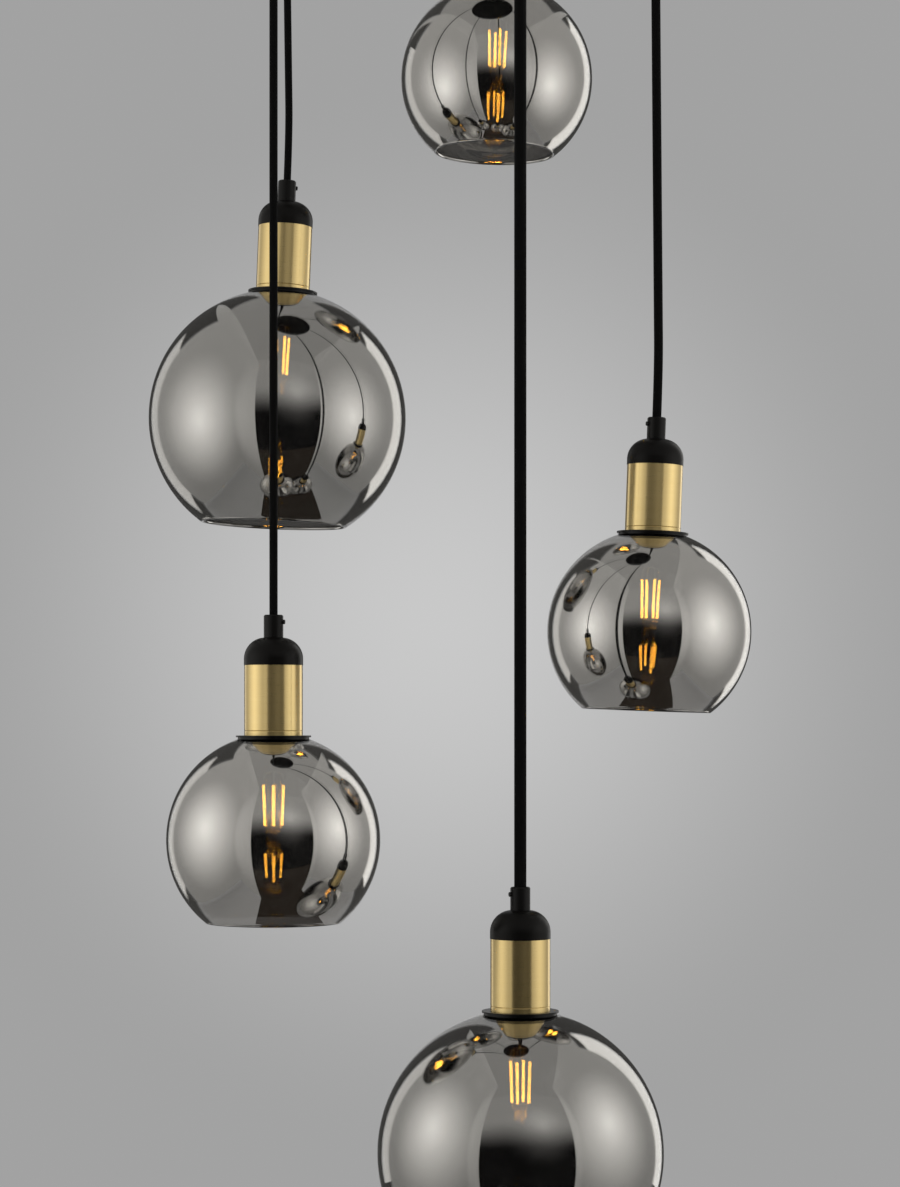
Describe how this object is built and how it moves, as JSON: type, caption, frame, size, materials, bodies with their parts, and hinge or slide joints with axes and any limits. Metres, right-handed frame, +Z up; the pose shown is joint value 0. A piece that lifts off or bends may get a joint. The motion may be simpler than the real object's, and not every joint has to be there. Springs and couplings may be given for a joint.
{
  "type": "cluster pendant",
  "caption": "Round ceiling canopy with textile cords at different drops, each ending in a brass lampholder and an open smoked-glass globe round a candle-shaped bulb.",
  "frame": {"origin": "centre of the canopy on the ceiling plane, which is also the middle of the bracket's two screw slots", "axes": "+Z up into the ceiling, so everything hangs at negative Z; +X towards the cord outlet of lamp 3; the bracket's bar lies along Y"},
  "size_m": [0.4479, 0.4621, 1.4607],
  "materials": {
    "canopy_black": "matt black powder coat",
    "zinc_steel": "zinc plated",
    "black_steel": "blackened",
    "grip_black": "satin black",
    "white_plastic": "moulded",
    "lead_jacket": "smooth jacket",
    "cord_textile": "woven textile",
    "cup_black": "matt black",
    "satin_brass": "satin turned",
    "ring_black": "semi-gloss",
    "holder_plastic": "moulded",
    "smoked_glass": "smoked and metallised",
    "cap_metal": "plated",
    "clear_glass": "clear",
    "filament_glow": "phosphor-coated sticks on glass and wire"
  },
  "bodies": {
    "canopy": {"canopy": "canopy_black", "ceiling_bracket": "zinc_steel", "canopy_screws": "black_steel", "canopy_grips": "grip_black", "grip_nuts": "zinc_steel", "terminal_strip": "white_plastic", "strip_screws": "zinc_steel", "lamp_leads": "lead_jacket"},
    "cord_1": {"cord_1": "cord_textile"},
    "lamp_1": {"cord_grip_1": "grip_black", "cup_1": "cup_black", "sleeve_1": "satin_brass", "shade_rings_1": "ring_black", "lampholder_1": "holder_plastic", "globe_1": "smoked_glass", "bulb_cap_1": "cap_metal", "bulb_glass_1": "clear_glass", "filaments_1": "filament_glow"},
    "cord_2": {"cord_2": "cord_textile"},
    "lamp_2": {"cord_grip_2": "grip_black", "cup_2": "cup_black", "sleeve_2": "satin_brass", "shade_rings_2": "ring_black", "lampholder_2": "holder_plastic", "globe_2": "smoked_glass", "bulb_cap_2": "cap_metal", "bulb_glass_2": "clear_glass", "filaments_2": "filament_glow"},
    "cord_3": {"cord_3": "cord_textile"},
    "lamp_3": {"cord_grip_3": "grip_black", "cup_3": "cup_black", "sleeve_3": "satin_brass", "shade_rings_3": "ring_black", "lampholder_3": "holder_plastic", "globe_3": "smoked_glass", "bulb_cap_3": "cap_metal", "bulb_glass_3": "clear_glass", "filaments_3": "filament_glow"},
    "cord_4": {"cord_4": "cord_textile"},
    "lamp_4": {"cord_grip_4": "grip_black", "cup_4": "cup_black", "sleeve_4": "satin_brass", "shade_rings_4": "ring_black", "lampholder_4": "holder_plastic", "globe_4": "smoked_glass", "bulb_cap_4": "cap_metal", "bulb_glass_4": "clear_glass", "filaments_4": "filament_glow"},
    "cord_5": {"cord_5": "cord_textile"},
    "lamp_5": {"cord_grip_5": "grip_black", "cup_5": "cup_black", "sleeve_5": "satin_brass", "shade_rings_5": "ring_black", "lampholder_5": "holder_plastic", "globe_5": "smoked_glass", "bulb_cap_5": "cap_metal", "bulb_glass_5": "clear_glass", "filaments_5": "filament_glow"}
  },
  "joints": [
    {"name": "swing_1", "type": "hinge", "parent": "canopy", "child": "cord_1", "pos_m": [0.04697, 0.14456, -0.042], "axis": [0.9511, -0.309, 0], "range_deg": [-4, 15]},
    {"name": "drop_1", "type": "slide", "parent": "cord_1", "child": "lamp_1", "axis": [0, 0, 1], "range_m": [0, 0.15], "deforming": ["cord_1"]},
    {"name": "swing_2", "type": "hinge", "parent": "canopy", "child": "cord_2", "pos_m": [-0.12297, 0.08934, -0.042], "axis": [0.5878, 0.809, 0], "range_deg": [-4, 15]},
    {"name": "drop_2", "type": "slide", "parent": "cord_2", "child": "lamp_2", "axis": [0, 0, 1], "range_m": [0, 0.15], "deforming": ["cord_2"]},
    {"name": "swing_3", "type": "hinge", "parent": "canopy", "child": "cord_3", "pos_m": [0.152, 0, -0.042], "axis": [0, -1, 0], "range_deg": [-4, 15]},
    {"name": "drop_3", "type": "slide", "parent": "cord_3", "child": "lamp_3", "axis": [0, 0, 1], "range_m": [0, 0.15], "deforming": ["cord_3"]},
    {"name": "swing_4", "type": "hinge", "parent": "canopy", "child": "cord_4", "pos_m": [-0.12297, -0.08934, -0.042], "axis": [-0.5878, 0.809, 0], "range_deg": [-4, 15]},
    {"name": "drop_4", "type": "slide", "parent": "cord_4", "child": "lamp_4", "axis": [0, 0, 1], "range_m": [0, 0.15], "deforming": ["cord_4"]},
    {"name": "swing_5", "type": "hinge", "parent": "canopy", "child": "cord_5", "pos_m": [0.04697, -0.14456, -0.042], "axis": [-0.9511, -0.309, 0], "range_deg": [-4, 15]},
    {"name": "drop_5", "type": "slide", "parent": "cord_5", "child": "lamp_5", "axis": [0, 0, 1], "range_m": [0, 0.15], "deforming": ["cord_5"]}
  ]
}
